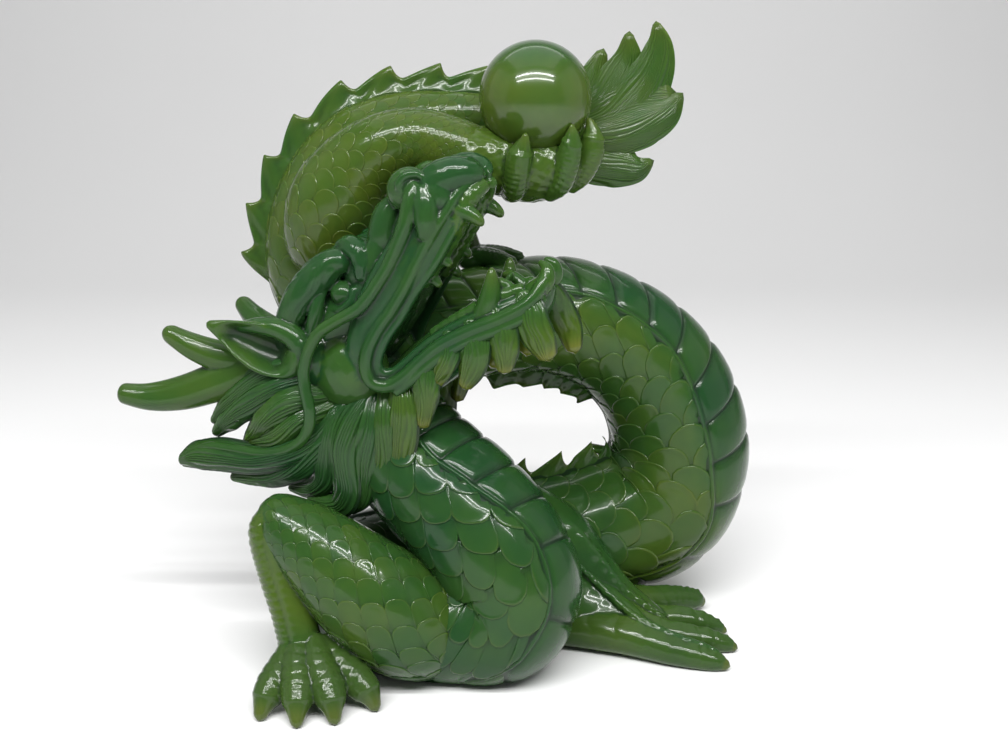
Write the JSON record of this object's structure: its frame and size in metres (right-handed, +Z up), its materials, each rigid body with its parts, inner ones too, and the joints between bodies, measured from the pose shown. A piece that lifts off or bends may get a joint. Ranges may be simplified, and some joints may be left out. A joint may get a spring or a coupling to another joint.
{
  "type": "resin dragon figure",
  "caption": "Coiled dragon ornament with an arched scaly body, open jaws and horns, a raised hind paw holding a round pearl, and a leafy tail.",
  "frame": {"origin": "centre of the bounding box's bottom, on the surface that the figure stands on", "axes": "+Z up, the figure's front faces -Y, its arch is on the +X side and its horns point to -X"},
  "size_m": [0.2608, 0.1526, 0.2512],
  "materials": {
    "resin": "clear-glossed green resin, emerald on the head and coil, olive on the tail and thin edges",
    "pearl_resin": "polished yellow-green resin"
  },
  "bodies": {
    "root": {"dragon": "resin", "pearl": "pearl_resin"}
  },
  "joints": []
}
